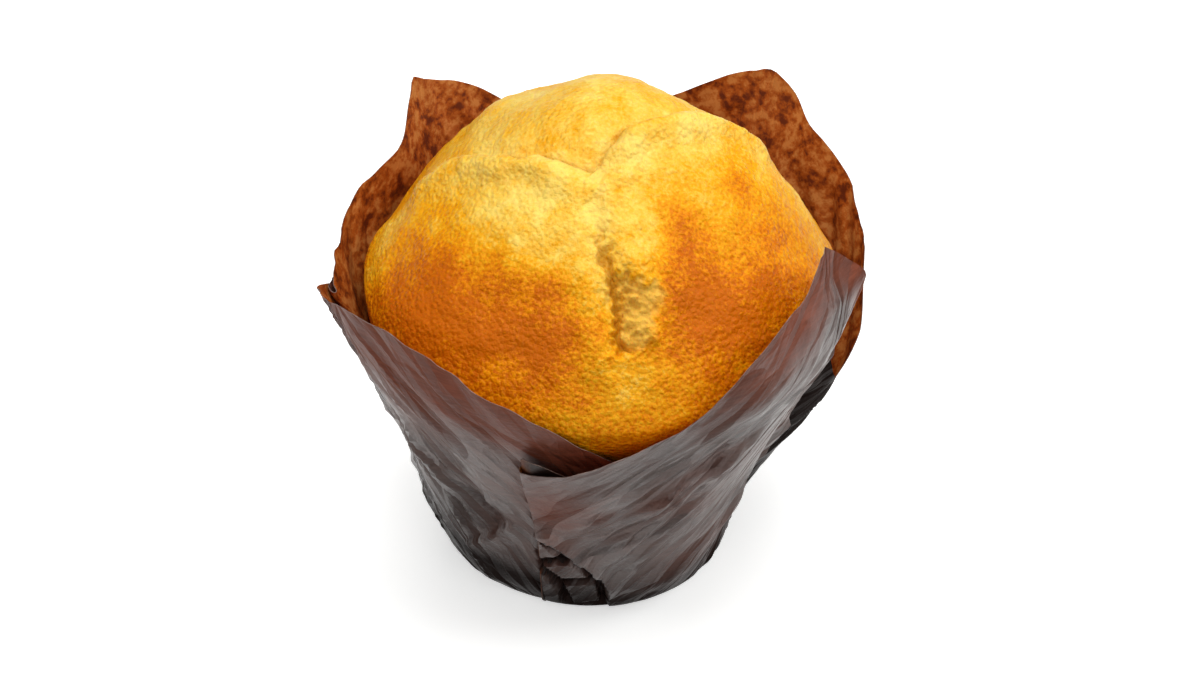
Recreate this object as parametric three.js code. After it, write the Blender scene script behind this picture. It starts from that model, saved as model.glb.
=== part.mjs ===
// A muffin in a tulip paper case, in millimetres with +Z up.
// The origin is the centre of the case's flat base, and the front faces -Y.
// Azimuths are in degrees, seen from above: 0 is the front and 90 is the +X side.
import * as THREE from 'three';
import { mergeVertices } from 'three/addons/utils/BufferGeometryUtils.js';
import { ParametricGeometry } from 'three/addons/geometries/ParametricGeometry.js';

// ---- driving dimensions of the paper case ----
const PAPER = 0.35;            // thickness of the paper wall
const BASE_RADIUS = 21;        // the case stands on a flat disc of this radius
const HEEL_RADIUS = 23.4;      // it rounds up to this radius at the heel
const HEEL_HEIGHT = 2.2;
const LEAN = 2.0 / 60;         // the muffin and its case lean towards +X by this much of their height
const LAYER_STEP = 0.95;       // from one layer of a pleat to the next
const PLEAT_START = 4;         // height at which the pleats' layers stand clear of each other
// The front pleat opens at its top: where, over how many degrees, between which heights, by how much a layer.
const POCKET = { azimuth: -8, spread: 16, start: 20, full: 46, step: 1.5 };
const FOLD_STEPS = 4;
const FOLD_BULGE = 0.8;        // how far a fold rounds out, in degrees
const FOLD_FOOT_STEP = 0.25;   // from one column of a fold to the next at its foot, in degrees
const BASE_RINGS = 2;
const WALL_ROWS = 11;
const ROW_CROWDING = 1.35;     // above 1, the rows lie closer together near the foot
const LEVELS = [15, 30, 45, 60, 75];

// Radius of the innermost layer at those levels, for each azimuth: each petal flares by its own amount.
const CASE_RADII = [
  [0, [27.2, 31.8, 37.5, 44.6, 46.5]],
  [40, [27.0, 31.4, 36.4, 43.2, 42]],
  [67, [26.3, 31.2, 37.0, 43.2, 41.0]],
  [79, [26.4, 32.2, 38.6, 44.2, 46.6]],
  [86, [29.4, 38.8, 45.2, 48.6, 51.2]],
  [92, [31.5, 41.2, 47.0, 50.1, 52.6]],
  [102, [29.8, 39.2, 46.2, 50.6, 53.6]],
  [120, [28.6, 36.5, 44.5, 50.8, 56.0]],
  [139, [28.0, 34.6, 41.5, 48.0, 53.5]],
  [180, [27.6, 32.6, 38.0, 45.0, 47.0]],
  [222, [27.8, 33.0, 38.5, 45.0, 51.0]],
  [235, [28.2, 33.4, 39.0, 44.2, 46.5]],
  [250, [28.6, 34.0, 40.0, 46.0, 49.5]],
  [272, [29.6, 34.0, 39.6, 45.6, 49.0]],
  [290, [29.6, 33.4, 38.9, 45.6, 51.5]],
  [322, [28.0, 31.9, 37.4, 44.4, 46.3]],
];

// ---- driving dimensions of the muffin ----
const MUFFIN = {
  floor: 0.7,                  // underside, clear of the paper base
  footRadius: 20.2,
  footRound: 2.5,
  footFlare: 0.8,              // the side starts this far outside the foot
  side: [[15, 24.9], [30, 29.7], [45, 35.1], [50, 37.8], [55, 40.3], [58, 41.5]],   // height, radius
  waist: 60.5,                 // height of the widest point of the dome
  waistRadius: 42,
  top: 90,
  domePower: 1.42,             // 2 would be a half ellipse, 1 a cone
  domeSteps: 24,
  crustStart: 14,              // height above the waist where the mounds stand out fully
  aroundSteps: 60,
  profileSteps: 44,
};

// Mounds of the dome: where each one is centred, as a share of the waist radius, its spread and its rise.
const MOUNDS = [
  { x: 0.02, y: 0.42, spread: 0.42, rise: 5.6 },
  { x: -0.38, y: -0.22, spread: 0.40, rise: 1.2 },
  { x: 0.46, y: 0.04, spread: 0.38, rise: 2.8 },
];
// A crack runs across the dome behind its middle, and another one from it to the front.
const BACK_CRACK = { y: 0.02, bend: 0.16, width: 0.07, depth: 2.0, reach: 0.75 };
const CRACK_FADE = 0.3;        // each crack runs out over this share of the waist radius
const FRONT_CRACK = { x: 0.06, slant: 0.1, width: 0.06, depth: 2.4, reach: 0.85 };
// The widest part of the dome hangs lower at the front: how far, over how many degrees, and the heights.
const SAG = { depth: 3.5, spread: 55, from: 44, to: 84, fade: 24 };

// ---- small helpers ----
const radians = THREE.MathUtils.degToRad;
const { lerp, smoothstep } = THREE.MathUtils;
const bell = (x, spread) => Math.exp(-((x / spread) ** 2));
/** An azimuth as the turn from the front, from -180 to 180. */
const turned = (azimuth) => ((azimuth + 540) % 360) - 180;

/** Smooth curve through the points (xs, ys), continued straight past its ends. */
function curveThrough(xs, ys, x) {
  const last = xs.length - 1;
  const slope = (k) => {
    const a = Math.max(k - 1, 0);
    const b = Math.min(k + 1, last);
    return (ys[b] - ys[a]) / (xs[b] - xs[a]);
  };
  if (x >= xs[last]) return ys[last] + slope(last) * (x - xs[last]);
  let k = 0;
  while (x > xs[k + 1]) k += 1;
  const h = xs[k + 1] - xs[k];
  const t = (x - xs[k]) / h;
  const t2 = t * t;
  const t3 = t2 * t;
  return (2 * t3 - 3 * t2 + 1) * ys[k] + (t3 - 2 * t2 + t) * h * slope(k)
    + (3 * t2 - 2 * t3) * ys[k + 1] + (t3 - t2) * h * slope(k + 1);
}

/** Closes a parametric surface: its seam and poles are merged and empty triangles dropped. */
function closed(geometry) {
  geometry.deleteAttribute('normal');
  geometry.deleteAttribute('uv');
  const merged = mergeVertices(geometry, 1e-5);
  const index = merged.getIndex().array;
  const kept = [];
  for (let i = 0; i < index.length; i += 3) {
    const [a, b, c] = [index[i], index[i + 1], index[i + 2]];
    if (a !== b && b !== c && c !== a) kept.push(a, b, c);
  }
  merged.setIndex(kept);
  merged.computeVertexNormals();
  return merged;
}

/** The point at an azimuth, radius and height. */
function atAzimuth(azimuth, radius, height, target) {
  const angle = radians(azimuth);
  return target.set(radius * Math.sin(angle) + LEAN * height, -radius * Math.cos(angle), height);
}

// ---- the paper case ----
// The rim is one walk around the sheet's edge. Each stop gives the azimuth at the rim, the azimuth
// at the foot, the layer (0 inside, 2 outside) and the height of the rim. A pleat is two folds:
// the walk turns back at the first one and forward again at the second one.
const stop = (top, foot, layer, rim) => [{ top, foot, layer, rim }];

/** A rounded fold: the walk turns from one layer to the next, bulging to the given side. */
function fold(top, foot, fromLayer, toLayer, rim, side) {
  const middle = (fromLayer + toLayer) / 2;
  const half = (fromLayer - toLayer) / 2;
  return Array.from({ length: FOLD_STEPS + 1 }, (_, k) => {
    const angle = (Math.PI * k) / FOLD_STEPS;
    const out = side * FOLD_BULGE * (Math.sin(angle) - 1);
    return { top: top + out, foot: foot + FOLD_FOOT_STEP * k, layer: middle + half * Math.cos(angle), rim };
  });
}

const RIM_WALK = [
  // front right petal, outside its neighbours at both ends
  fold(-18.5, -20, 1, 2, 48.4, -1),
  stop(-9, -10, 2, 50.4),
  stop(2, 1, 2, 54.6),
  stop(12, 11, 2, 57.7),
  stop(17, 16, 2, 59.2),
  stop(26, 25, 2, 64.8),
  stop(35, 34, 2, 69.8),
  stop(41, 40, 2, 72),
  stop(47.5, 47, 2, 73.6),
  stop(53.5, 53, 2, 73.8),
  stop(60, 59, 2, 77.6),
  stop(63.6, 62.5, 2, 79.6),
  stop(73, 73, 2, 72.3),
  fold(77.5, 82.6, 2, 1, 67.5, 1),
  stop(64, 84.5, 1, 58),
  fold(50, 86, 1, 0, 50, -1),
  // back right petal, wide open, with a kink where it comes out of the pleat
  stop(66, 88, 0, 49),
  stop(81.5, 89, 0, 45.6),
  stop(85.3, 90, 0, 39.8),
  stop(88, 91, 0, 37.2),
  stop(92.3, 94.5, 0.1, 42.6),
  stop(96, 98, 0.2, 47.2),
  stop(102.3, 103.5, 0.4, 55),
  stop(110, 110, 0.5, 58.2),
  stop(118, 118, 0.8, 61.6),
  stop(125, 125, 0.9, 64.3),
  stop(133, 132.5, 1, 67.5),
  stop(139, 138.5, 1.1, 72.2),
  stop(144.5, 144, 1.3, 74.4),
  stop(151.5, 151, 1.4, 72.2),
  stop(158.5, 158, 1.6, 69),
  stop(165.7, 164.5, 1.8, 65.2),
  stop(173, 171, 2, 60),
  stop(184, 179, 2, 53),
  fold(197, 187, 2, 1, 47, 1),
  stop(182, 189, 1, 45),
  fold(167, 191, 1, 0, 44, -1),
  // back left petal
  stop(182, 194, 0, 50),
  stop(195, 198, 0, 61),
  stop(203.5, 204, 0, 68),
  stop(208, 208, 0, 70.8),
  stop(213, 212.5, 0, 73),
  stop(217.6, 217, 0, 74.4),
  stop(222.6, 221.5, 0, 76.5),
  stop(226.8, 226, 0, 72.2),
  stop(231, 230.5, 0, 68.7),
  stop(237.4, 237, 0, 67.2),
  stop(245, 244, 0, 66.2),
  stop(252.5, 251, 0, 64.7),
  stop(262, 258, 0, 63.9),
  stop(273.5, 264, 0, 64.4),
  fold(281.5, 267, 0, 1, 63, 1),
  stop(266, 269, 1, 58.5),
  fold(250, 271, 1, 2, 52, -1),
  // front left petal, open to the side and tucked under at the front
  stop(266, 275, 2, 56),
  stop(280, 282, 2, 64),
  stop(288, 288, 2, 68.6),
  stop(293, 292, 2, 70.4),
  stop(298, 297, 2, 71.2),
  stop(302, 301, 2, 72.6),
  stop(307.4, 305.5, 2, 72.2),
  stop(312, 309.5, 1.9, 72.6),
  stop(317, 314, 1.8, 71.5),
  stop(323, 319, 1.4, 70.3),
  stop(329.5, 324, 1.1, 68.5),
  stop(335, 328, 0.8, 65.8),
  stop(342, 332, 0.5, 64),
  stop(346, 334, 0.4, 62.3),
  stop(351.6, 336, 0.2, 59),
  stop(355, 337, 0.1, 55.9),
  stop(361, 338, 0, 51.6),
  fold(371, 338.4, 0, 1, 47, 1),
  // the middle layer of the front pleat, with a small curl at its end
  stop(356, 339.5, 1, 46),
  stop(349, 339.6, 1.3, 50.5),
  stop(345.5, 339.7, 1.7, 53.2),
  stop(342.6, 339.8, 1.4, 52),
].flat();

const TURNS = [-1, 0, 1];
const PADDED = TURNS.flatMap((turn) => CASE_RADII.map(([azimuth]) => azimuth + 360 * turn));
const LEVEL_CURVES = LEVELS.map((_, level) => (
  TURNS.flatMap(() => CASE_RADII.map(([, radii]) => radii[level]))));

/** Radius of the case at an azimuth and height, on a layer of its pleats. */
function caseRadius(azimuth, height, layer) {
  const around = ((azimuth % 360) + 360) % 360;
  const radii = LEVEL_CURVES.map((values) => curveThrough(PADDED, values, around));
  const nearPocket = bell(turned(azimuth - POCKET.azimuth), POCKET.spread);
  const step = LAYER_STEP * smoothstep(height, 0, PLEAT_START)
    + POCKET.step * nearPocket * smoothstep(height, POCKET.start, POCKET.full);
  const heights = [0, HEEL_HEIGHT, ...LEVELS];
  const innermost = curveThrough(heights, [BASE_RADIUS, HEEL_RADIUS, ...radii], height);
  return innermost + layer * step;
}

/** The stop of the rim walk at a column, closing on itself. */
function walkStop(column) {
  const count = RIM_WALK.length;
  const turns = Math.floor(column / count);
  const here = RIM_WALK[column - turns * count];
  return { ...here, top: here.top + 360 * turns, foot: here.foot + 360 * turns };
}

/** The middle of the paper wall at a column and a share of its height. */
function wallPoint(column, share) {
  const { top, foot, layer, rim } = walkStop(column);
  const height = rim * share;
  const azimuth = lerp(foot, top, share);
  return atAzimuth(azimuth, caseRadius(azimuth, height, layer), height, new THREE.Vector3());
}

/** The direction that points out of the paper, level, at a column of the wall. */
function wallOutward(column, share) {
  const along = wallPoint(column + 1, share).sub(wallPoint(column - 1, share)).setZ(0).normalize();
  return new THREE.Vector3(along.y, -along.x, 0);
}

/** Rings of the case from the middle of its base to its rim: one skin of the paper. */
function casePoint(column, row, skin, target) {
  const centreHeight = skin < 0 ? 0 : PAPER;
  if (row < BASE_RINGS) {
    const share = row / BASE_RINGS;
    const edge = wallPoint(column, 0);
    return target.set(edge.x * share, edge.y * share, centreHeight);
  }
  const share = ((row - BASE_RINGS) / WALL_ROWS) ** ROW_CROWDING;
  target.copy(wallPoint(column, share));
  target.addScaledVector(wallOutward(column, share), (-skin * PAPER) / 2);
  target.z = Math.max(target.z, centreHeight);
  return target;
}

function tulipCase() {
  const rows = BASE_RINGS + WALL_ROWS;
  const stacks = 2 * rows + 1;
  const surface = (u, v, target) => {
    const column = Math.round(u * RIM_WALK.length);
    const row = Math.round(v * stacks);
    if (row <= rows) return casePoint(column, row, -1, target);
    return casePoint(column, stacks - row, 1, target);
  };
  const material = new THREE.MeshStandardMaterial({ color: '#5f534f', roughness: 0.62, metalness: 0 });
  const geometry = closed(new ParametricGeometry(surface, RIM_WALK.length, stacks));
  const mesh = new THREE.Mesh(geometry, material);
  mesh.name = 'tulip_case';
  return mesh;
}

// ---- the muffin ----
/** Profile of the muffin from the middle of its underside to its top: radius and height. */
function muffinProfile() {
  const m = MUFFIN;
  const outline = new THREE.Path();
  outline.moveTo(0, m.floor);
  outline.lineTo(m.footRadius - m.footRound, m.floor);
  outline.quadraticCurveTo(m.footRadius, m.floor, m.footRadius + m.footFlare, m.floor + m.footRound);
  outline.splineThru(m.side.map(([height, radius]) => new THREE.Vector2(radius, height)));
  outline.splineThru(Array.from({ length: m.domeSteps + 1 }, (_, k) => {
    const angle = (Math.PI / 2) * (k / m.domeSteps);
    const out = Math.max(Math.cos(angle), 0) ** (2 / m.domePower);
    const up = Math.sin(angle) ** (2 / m.domePower);
    return new THREE.Vector2(m.waistRadius * out, m.waist + (m.top - m.waist) * up);
  }));
  return outline.getSpacedPoints(m.profileSteps);
}

/** How far the crust stands out of the plain dome at a place seen from above. */
function crustRise(x, y) {
  const mounds = MOUNDS.reduce((sum, { x: cx, y: cy, spread, rise }) => (
    sum + rise * bell(Math.hypot(x - cx, y - cy), spread)), 0);
  const fromBackCrack = y - BACK_CRACK.y - BACK_CRACK.bend * Math.abs(x);
  const backCrack = bell(fromBackCrack, BACK_CRACK.width)
    * smoothstep(BACK_CRACK.reach - Math.abs(x), 0, CRACK_FADE);
  const fromFrontCrack = x - FRONT_CRACK.x + FRONT_CRACK.slant * y;
  const frontCrack = bell(fromFrontCrack, FRONT_CRACK.width) * smoothstep(-y, -0.1, 0.1)
    * smoothstep(y + FRONT_CRACK.reach, 0, CRACK_FADE);
  return mounds - BACK_CRACK.depth * backCrack - FRONT_CRACK.depth * frontCrack;
}

/** How far the widest part of the dome hangs down at an azimuth, for a height of the plain dome. */
function frontSag(azimuth, height) {
  return SAG.depth * bell(turned(azimuth), SAG.spread)
    * smoothstep(height, SAG.from, MUFFIN.waist) * smoothstep(SAG.to - height, 0, SAG.fade);
}

function muffin() {
  const profile = muffinProfile();
  const stacks = profile.length - 1;
  const domeHeight = MUFFIN.top - MUFFIN.waist;
  const surface = (u, v, target) => {
    const point = profile[Math.round(v * stacks)];
    const azimuth = 360 * u;
    const share = point.x / MUFFIN.waistRadius;
    const polar = Math.atan2(share, (point.y - MUFFIN.waist) / domeHeight);
    const angle = radians(azimuth);
    const onDome = smoothstep(point.y, MUFFIN.waist, MUFFIN.waist + MUFFIN.crustStart);
    const rise = onDome * crustRise(share * Math.sin(angle), -share * Math.cos(angle));
    const height = point.y + rise * Math.cos(polar) - frontSag(azimuth, point.y);
    return atAzimuth(azimuth, point.x + rise * Math.sin(polar), height, target);
  };
  const material = new THREE.MeshStandardMaterial({ color: '#e0951c', roughness: 0.7, metalness: 0 });
  const geometry = closed(new ParametricGeometry(surface, MUFFIN.aroundSteps, stacks));
  const mesh = new THREE.Mesh(geometry, material);
  mesh.name = 'muffin';
  return mesh;
}

const object = new THREE.Group();
object.add(tulipCase(), muffin());

export default object;
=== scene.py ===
"""A muffin in a tulip paper case: the visible pieces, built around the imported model.

Lengths are in metres with +Z up and the front facing -Y. Azimuths are in degrees, seen
from above: 0 is the front and 90 is the +X side. Tables of shape are in millimetres.
"""

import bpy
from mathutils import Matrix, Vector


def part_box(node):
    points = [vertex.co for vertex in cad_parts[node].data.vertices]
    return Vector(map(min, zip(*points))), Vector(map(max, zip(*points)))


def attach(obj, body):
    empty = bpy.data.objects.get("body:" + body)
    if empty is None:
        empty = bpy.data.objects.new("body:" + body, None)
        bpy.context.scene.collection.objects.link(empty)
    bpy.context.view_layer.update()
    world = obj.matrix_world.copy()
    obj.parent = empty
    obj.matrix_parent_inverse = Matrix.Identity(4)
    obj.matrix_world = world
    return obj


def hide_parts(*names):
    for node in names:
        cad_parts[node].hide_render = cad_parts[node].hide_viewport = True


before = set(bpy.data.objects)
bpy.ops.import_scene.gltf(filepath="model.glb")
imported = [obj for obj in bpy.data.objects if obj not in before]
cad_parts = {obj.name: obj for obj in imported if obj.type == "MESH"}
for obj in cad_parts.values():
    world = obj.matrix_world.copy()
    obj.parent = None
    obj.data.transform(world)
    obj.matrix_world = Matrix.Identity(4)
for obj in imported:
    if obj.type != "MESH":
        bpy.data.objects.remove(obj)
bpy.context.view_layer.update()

import bisect
import math
import random

import bmesh
import bpy
from bpy.props import FloatProperty, FloatVectorProperty, IntProperty, PointerProperty
from mathutils import Vector
from mathutils.noise import noise

bl_info = {
    "name": "Muffin in a tulip case",
    "version": (1, 0, 0),
    "blender": (4, 5, 0),
    "location": "View3D > Sidebar > Muffin",
    "description": "Builds a muffin, its folded paper case and a plain studio",
    "category": "Add Mesh",
}

MM = 0.001
MUFFIN_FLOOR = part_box("muffin")[0].z / MM    # height of the muffin's underside, in millimetres


def linear(hex_colour):
    """The linear red, green and blue of an sRGB hex colour."""
    parts = [int(hex_colour[i:i + 2], 16) / 255 for i in (1, 3, 5)]
    return tuple(p / 12.92 if p <= 0.04045 else ((p + 0.055) / 1.055) ** 2.4 for p in parts)


def number(name, description, default, **more):
    return FloatProperty(name=name, description=description, default=default, **more)


def length(name, description, default):
    return number(name, description, default, unit="LENGTH", precision=5)


def colour(name, description, hex_colour):
    return FloatVectorProperty(name=name, description=description, subtype="COLOR", size=3,
                               min=0, max=1, default=linear(hex_colour))


class CrustSettings(bpy.types.PropertyGroup):
    """Sizes and colours of the baked muffin."""

    waist_radius: length("Waist radius", "Radius of the widest part of the dome", 42 * MM)
    waist_height: length("Waist height", "Height of the widest part of the dome", 60.5 * MM)
    dome_top: length("Dome top", "Height of the plain dome, under its mounds", 90 * MM)
    foot_radius: length("Foot radius", "Radius of the muffin's underside", 20.2 * MM)
    crack_depth: length("Crack depth", "Depth of the cracks between the lobes", 2.6 * MM)
    grain: length("Grain", "Size of the crust's small bubbles and crumbs", 0.65 * MM)
    subdivisions: IntProperty(name="Subdivisions", description="Fineness of the crust's mesh",
                              default=7, min=3, max=7)
    cream: colour("Cream crust", "Crust that opened last, beside the cracks", "#FCD668")
    pale: colour("Pale crust", "Crust on the tops of the lobes", "#F7C54C")
    golden: colour("Golden crust", "Crust halfway down", "#F2A913")
    amber: colour("Amber crust", "Well baked crust", "#E68A00")
    brown: colour("Brown crust", "The darkest bakes", "#C86400")
    crumb: colour("Crumb", "Torn crumb inside the front crack", "#EAB64A")
    # painted shade: the colour at the bottom of the cracks and in the torn crumb's pores
    groove: colour("Groove", "The bottom of a crack", "#A0620C")


class CaseSettings(bpy.types.PropertyGroup):
    """Sizes and colours of the tulip case."""

    sheet_side: length("Sheet side", "Side of the square sheet before it was folded", 150 * MM)
    thickness: length("Paper thickness", "Thickness of the paper, with its fine creases", 0.12 * MM)
    base_radius: length("Base radius", "Radius of the flat base", 21.0 * MM)
    heel_radius: length("Heel radius", "Radius where the base turns up into the wall", 23.4 * MM)
    layer_step: length("Layer step", "Distance between the layers of a pleat", 0.95 * MM)
    wrinkle_height: length("Wrinkle height", "Height of the long wrinkles", 0.75 * MM)
    row_count: IntProperty(name="Rows", description="Rows of faces from the foot to the rim",
                           default=84, min=20, max=120)
    outside: colour("Outside", "Dark paper outside", "#54413B")
    outside_red: colour("Outside, thin", "Where the paper lies against the crust and looks red", "#7C4330")
    # painted shade: nearly black, for the heel, the back right petal's strip beside the pleat and the tuck,
    # outside and in
    outside_shade: colour("Outside, soaked", "Paper of the heel and the tucks, dark with grease", "#241A17")
    inside: colour("Inside", "Paper inside, soaked by the crust", "#9E4D12")
    inside_dark: colour("Inside, soaked", "The most soaked paper", "#5E2408")
    inside_light: colour("Inside, dry", "Dry paper", "#BC783A")


class StudioSettings(bpy.types.PropertyGroup):
    """Sizes and colours of the stage."""

    floor_size: length("Floor size", "Side of the square floor", 6.0)
    floor_colour: colour("Floor", "Matt white card", "#F4F4F2")
    floor_glow: number("Floor glow", "Light that comes up through the floor", 0.49, min=0)
    camera_distance: length("Camera distance", "From the camera to the muffin", 0.6)
    camera_elevation: number("Camera elevation", "The camera's angle above the floor",
                             math.radians(38), subtype="ANGLE")
    lens: number("Lens", "Focal length", 100, subtype="DISTANCE_CAMERA")
    key_power: number("Key light", "Power of the large soft light", 11.2, unit="POWER")
    sky: number("Studio walls", "Brightness of the white room", 0.6, min=0)


# ---- shape of the paper case, in millimetres and degrees ----
LEAN = 2.0 / 60                # the muffin and its case lean towards +X by this much of their height
HEEL_HEIGHT = 2.2
PLEAT_START = 4                # height at which the pleats' layers stand clear of each other
POCKET_AZIMUTH = -8            # the front pleat, whose layers part further
POCKET_SPREAD = 16
POCKET_START, POCKET_FULL = 20, 46
POCKET_STEP = 1.5
# the front pleat's inside is painted dark between these azimuths, as shade
PLEAT_DARK_FROM, PLEAT_DARK_FULL = 338, 346    # azimuths where the front pleat is dark inside
FOLD_BULGE, FOLD_TURN = 0.8, 0.25              # of a fold's rim and foot, in degrees
SEED = 11                      # of the long wrinkles
BASE_RINGS = 6
ROW_CROWDING = 1.25            # above 1, the rows lie closer together near the foot
COLUMN_WIDTH, FINE_COLUMN_WIDTH = 1.15, 0.7
LAYER_GAP = 0.95               # between layers, where the columns are spaced along the edge
FINE_UNTIL = 15                # the columns are fine from the front pleat to this azimuth
SHEET_SLACK = 1.06             # length of paper for each millimetre of height on the slanting wall
WRINKLE_RELIEF = 0.42          # height of the wrinkles before they are scaled

# Length of a degree of azimuth, in millimetres: on the rim, on the wall and at the tuck.
RIM_DEGREE, WALL_DEGREE, TUCK_DEGREE = 0.72, 0.7, 0.53
LEVELS = [15, 30, 45, 60, 75]

# Radius of the innermost layer at those levels, for each azimuth.
CASE_RADII = [
    (0, (27.2, 31.8, 37.5, 44.6, 46.5)), (40, (27.0, 31.4, 36.4, 43.2, 42)),
    (67, (26.3, 31.2, 37.0, 43.2, 41.0)), (79, (26.4, 32.2, 38.6, 44.2, 46.6)),
    (86, (29.4, 38.8, 45.2, 48.6, 51.2)), (92, (31.5, 41.2, 47.0, 50.1, 52.6)),
    (102, (29.8, 39.2, 46.2, 50.6, 53.6)), (120, (28.6, 36.5, 44.5, 50.8, 56.0)),
    (139, (28.0, 34.6, 41.5, 48.0, 53.5)), (180, (27.6, 32.6, 38.0, 45.0, 47.0)),
    (222, (27.8, 33.0, 38.5, 45.0, 51.0)), (235, (28.2, 33.4, 39.0, 44.2, 46.5)),
    (250, (28.6, 34.0, 40.0, 46.0, 49.5)), (272, (29.6, 34.0, 39.6, 45.6, 49.0)),
    (290, (29.6, 33.4, 38.9, 45.6, 51.5)), (322, (28.0, 31.9, 37.4, 44.4, 46.3)),
]


# The walk round the sheet's edge, petal by petal. Each stop is its azimuth at the rim and at the
# foot, its layer and its height, and "corner" where the edge has a point.
def fold(top, foot, from_layer, to_layer, rim, side):
    """A rounded fold: the walk turns from one layer to the next, bulging to the given side."""
    stops = []
    for k in range(5):
        angle = math.pi * k / 4
        out = side * FOLD_BULGE * (math.sin(angle) - 1)
        layer = (from_layer + to_layer) / 2 + (from_layer - to_layer) / 2 * math.cos(angle)
        stops.append((top + out, foot + FOLD_TURN * k, layer, rim))
    return stops


# Front right petal, outside its neighbours at both ends.
FRONT_RIGHT = [
    *fold(-18.5, -20, 1, 2, 48.4, -1), (-9, -10, 2, 50.4), (2, 1, 2, 54.6), (12, 11, 2, 57.7),
    (17, 16, 2, 59.2), (26, 25, 2, 64.8), (35, 34, 2, 69.8), (41, 40, 2, 72), (47.5, 47, 2, 73.6),
    (53.5, 53, 2, 73.8), (60, 59, 2, 77.6), (63.6, 62.5, 2, 79.6, "corner"), (73, 73, 2, 72.3),
    *fold(77.5, 82.6, 2, 1, 67.5, 1), (64, 84.5, 1, 58), *fold(50, 86, 1, 0, 50, -1),
]
# Back right petal, wide open, with a kink where it comes out of the pleat.
BACK_RIGHT = [
    (66, 88, 0, 49), (81.5, 89, 0, 45.6), (85.3, 90, 0, 39.8), (88, 91, 0, 37.2, "corner"),
    (92.3, 94.5, 0.1, 42.6), (96, 98, 0.2, 47.2), (102.3, 103.5, 0.4, 55), (110, 110, 0.5, 58.2),
    (118, 118, 0.8, 61.6), (125, 125, 0.9, 64.3), (133, 132.5, 1, 67.5), (139, 138.5, 1.1, 72.2),
    (144.5, 144, 1.3, 74.4), (151.5, 151, 1.4, 72.2), (158.5, 158, 1.6, 69),
    (165.7, 164.5, 1.8, 65.2), (173, 171, 2, 60), (184, 179, 2, 53), *fold(197, 187, 2, 1, 47, 1),
    (182, 189, 1, 45), *fold(167, 191, 1, 0, 44, -1),
]
# Back left petal, tall, with its tip towards the back.
BACK_LEFT = [
    (182, 194, 0, 50), (195, 198, 0, 61), (203.5, 204, 0, 68), (208, 208, 0, 70.8),
    (213, 212.5, 0, 73), (217.6, 217, 0, 74.4), (222.6, 221.5, 0, 76.5, "corner"),
    (226.8, 226, 0, 72.2), (231, 230.5, 0, 68.7), (237.4, 237, 0, 67.2), (245, 244, 0, 66.2),
    (252.5, 251, 0, 64.7), (262, 258, 0, 63.9), (273.5, 264, 0, 64.4),
    *fold(281.5, 267, 0, 1, 63, 1), (266, 269, 1, 58.5), *fold(250, 271, 1, 2, 52, -1),
]
# Front left petal, open to the side and tucked under at the front.
FRONT_LEFT = [
    (266, 275, 2, 56), (280, 282, 2, 64), (288, 288, 2, 68.6), (293, 292, 2, 70.4, "corner"),
    (298, 297, 2, 71.2), (302, 301, 2, 72.6), (307.4, 305.5, 2, 72.2), (312, 309.5, 1.9, 72.6),
    (317, 314, 1.8, 71.5), (323, 319, 1.4, 70.3), (329.5, 324, 1.1, 68.5), (335, 328, 0.8, 65.8),
    (342, 332, 0.5, 64), (346, 334, 0.4, 62.3), (351.6, 336, 0.2, 59), (355, 337, 0.1, 55.9),
    (361, 338, 0, 51.6), *fold(371, 338.4, 0, 1, 47, 1),
    # the middle layer of the front pleat, with a small curl at its end
    (356, 339.5, 1, 46), (349, 339.6, 1.3, 50.5), (345.5, 339.7, 1.7, 53.2),
    (342.6, 339.8, 1.4, 52),
]
PETALS = (FRONT_RIGHT, BACK_RIGHT, BACK_LEFT, FRONT_LEFT)
# For each petal: azimuth of its tip, and the slant of the wrinkles on its two halves.
SLANTS = [(63.6, 42, 50), (144.5, 55, -55), (222.6, 60, -50), (293, 55, -60)]

# Creases: from (azimuth, height) to (azimuth, height), reach to either side in
# millimetres, and height of the ridge. A valley has a negative height.
CREASES = [
    # the folded-back strip along the front right petal's edge
    ((79, 70), (58, 68.5), (9, 3.5), 1.3), ((58, 68.5), (40, 61), (7, 3.5), 0.9),
    ((40, 61), (14, 49), (5, 3), 0.5),
    # where the front right petal turns under to the heel
    ((8, 9.5), (24, 8.2), (6, 5), 0.9), ((24, 8.2), (38, 9.4), (6, 5), 0.9),
    ((38, 9.4), (48, 14.5), (6, 5), 0.9), ((48, 14.5), (62, 22), (6, 5), 0.8),
    # long pulls on the front right petal
    ((13, 31), (37, 44), (5, 1.6), 0.55), ((33, 38), (56, 62), (5, 1.8), 0.65),
    ((22, 22), (52, 42), (4, 1.4), 0.45), ((45, 48), (70, 66), (3, 1.5), 0.5),
    # kinked crease and flat facet at the left heel
    ((-27, 25), (-46, 15), (4, 0.9), 1.5), ((-46, 15), (-40, 5), (4, 0.9), 1.2),
    ((-34, 27), (-33, 40), (0.9, 3.5), 0.9),
    # long pulls on the front left petal
    ((-64, 60), (-49, 38), (1.6, 5), 0.7), ((-56, 58), (-36, 33), (1.8, 5), 0.7),
    ((-47, 56), (-28, 36), (1.6, 4), 0.55), ((-66, 46), (-55, 22), (1.6, 4), 0.6),
]

# The front tuck, as places (azimuth, height): its lip starts at the petal's edge and runs down
# to the heel, and under it the paper lies in flat facets with gaps between them.
TUCK_LIP = [(-20.5, 24.6), (-14.2, 24.2), (-11, 23), (-8, 21), (-4.8, 18.8), (-1.2, 16.8),
            (3.2, 13.6), (6.2, 9.8), (8, 3.5)]
TUCK_LIP_HEIGHT, TUCK_LIP_REACH = 1.1, 3.0
TUCK_START, TUCK_FULL = -20.8, -19.3    # azimuths where it fades in beside the pleat
TUCK_EDGE = 0.9                # how far under the lip the paper is fully pressed in
TUCK_CLEARANCE = 0.9           # between the muffin and the pressed paper
TUCK_LAYER_STEP = 0.2          # between its layers there
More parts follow.
